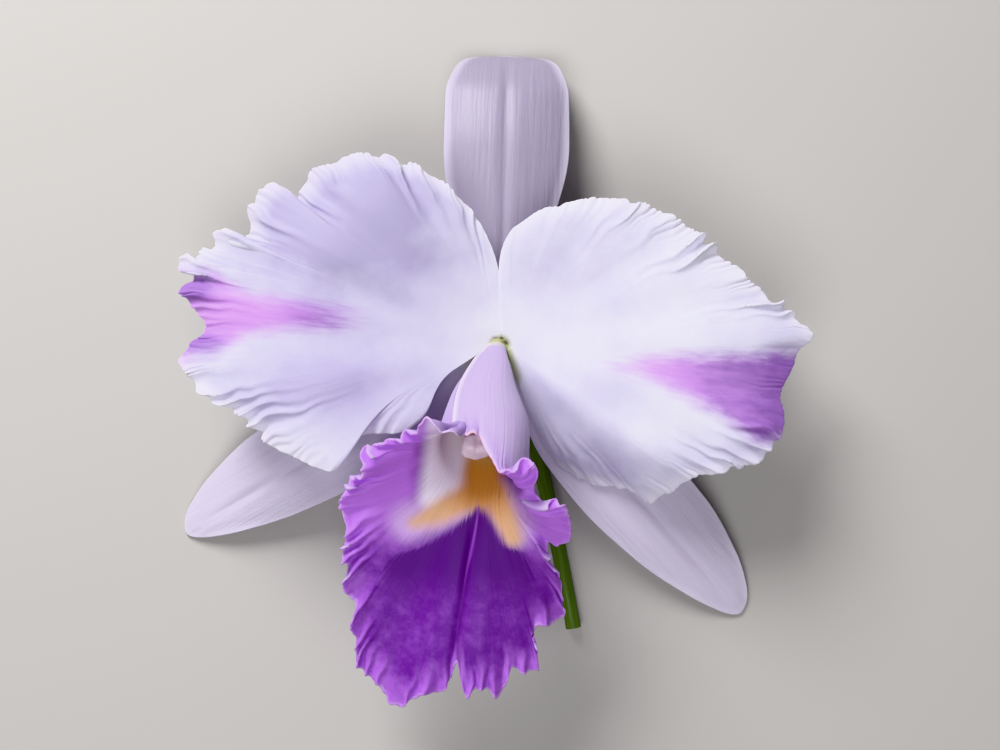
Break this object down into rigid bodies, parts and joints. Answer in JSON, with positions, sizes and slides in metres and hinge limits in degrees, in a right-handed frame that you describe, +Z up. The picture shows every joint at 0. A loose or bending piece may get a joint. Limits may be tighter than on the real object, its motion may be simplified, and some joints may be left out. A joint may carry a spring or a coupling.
{
  "type": "cattleya orchid bloom",
  "caption": "Large cattleya orchid bloom laid on its back: plain sepals, broad ruffled petals, a tubular lip with a frilled front lobe, a column inside it, and a bent pedicel.",
  "frame": {"origin": "on the resting surface, under the middle of the bloom's bounding box", "axes": "+Z up, out of the bloom's face; +Y towards the dorsal sepal; +X to the right of someone looking down into the bloom"},
  "size_m": [0.1618, 0.166, 0.0645],
  "materials": {
    "sepal_white": "lavender-white plant tissue, satin",
    "petal_white": "white petal tissue with a crystalline sheen and a lilac flame",
    "lip_purple": "velvety purple petal tissue, yellow in the throat",
    "column_white": "waxy pale pink plant tissue",
    "cap_ivory": "waxy ivory plant tissue",
    "pollen_yellow": "waxy yellow pollen masses",
    "pedicel_green": "smooth green stem tissue, satin"
  },
  "bodies": {
    "root": {"dorsal_sepal": "sepal_white", "lateral_sepal_left": "sepal_white", "lateral_sepal_right": "sepal_white", "petal_left": "petal_white", "petal_right": "petal_white", "lip": "lip_purple", "column": "column_white", "anther_cap": "cap_ivory", "pollinia": "pollen_yellow", "ovary_and_pedicel": "pedicel_green"}
  },
  "joints": []
}
